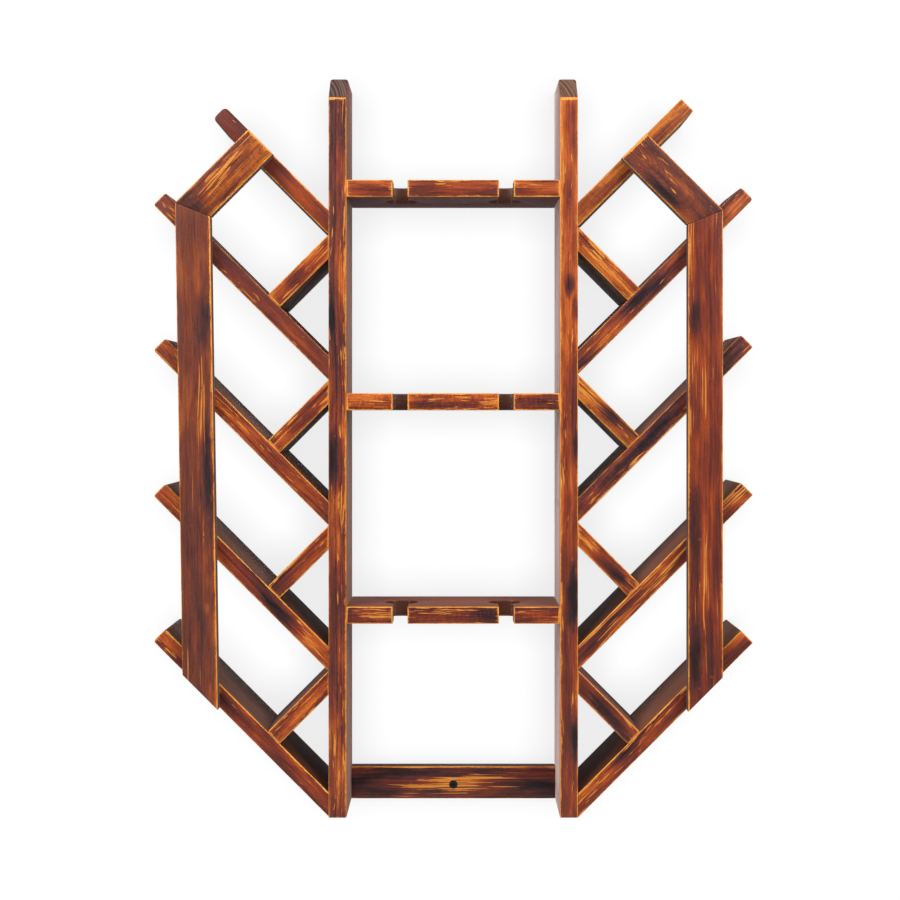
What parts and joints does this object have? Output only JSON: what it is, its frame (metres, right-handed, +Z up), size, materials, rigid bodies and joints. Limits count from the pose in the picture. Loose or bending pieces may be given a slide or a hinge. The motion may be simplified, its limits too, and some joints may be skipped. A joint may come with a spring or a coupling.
{
  "type": "wine rack",
  "caption": "Wall-hung stained pine wine rack: a central tower of shelves with glass keyholes between two uprights, and diagonal bottle cells on both sides.",
  "frame": {"origin": "the wall screw's axis where it meets the wall, on the centreline, 17 mm above the uprights' feet", "axes": "+X to the right as seen from the front, +Y into the wall, +Z up; the wall is the plane y = 0"},
  "size_m": [0.649, 0.134, 0.805],
  "materials": {
    "stained_pine": "satin red-brown stain over scorched pine, edges rubbed back to gold",
    "zinc_steel": "bright zinc plate",
    "black_steel": "black phosphate"
  },
  "bodies": {
    "root": {"left_upright": "stained_pine", "right_upright": "stained_pine", "top_shelf": "stained_pine", "middle_shelf": "stained_pine", "bottom_shelf": "stained_pine", "bottom_rail": "stained_pine", "left_bar_1": "stained_pine", "left_bar_2": "stained_pine", "left_bar_3": "stained_pine", "left_bar_4": "stained_pine", "left_bar_5": "stained_pine", "right_bar_1": "stained_pine", "right_bar_2": "stained_pine", "right_bar_3": "stained_pine", "right_bar_4": "stained_pine", "right_bar_5": "stained_pine", "left_brace_1": "stained_pine", "left_brace_2": "stained_pine", "left_brace_3": "stained_pine", "left_brace_4": "stained_pine", "right_brace_1": "stained_pine", "right_brace_2": "stained_pine", "right_brace_3": "stained_pine", "right_brace_4": "stained_pine", "left_outer_slat": "stained_pine", "left_corner_slat": "stained_pine", "right_outer_slat": "stained_pine", "right_corner_slat": "stained_pine", "left_hanger": "zinc_steel", "right_hanger": "zinc_steel", "left_bar_screws": "zinc_steel", "left_brace_screws": "zinc_steel", "left_slat_brads": "zinc_steel", "right_bar_screws": "zinc_steel", "right_brace_screws": "zinc_steel", "right_slat_brads": "zinc_steel", "shelf_screws": "zinc_steel", "rail_screws": "zinc_steel", "hanger_screws": "zinc_steel", "wall_screw": "black_steel"}
  },
  "joints": []
}
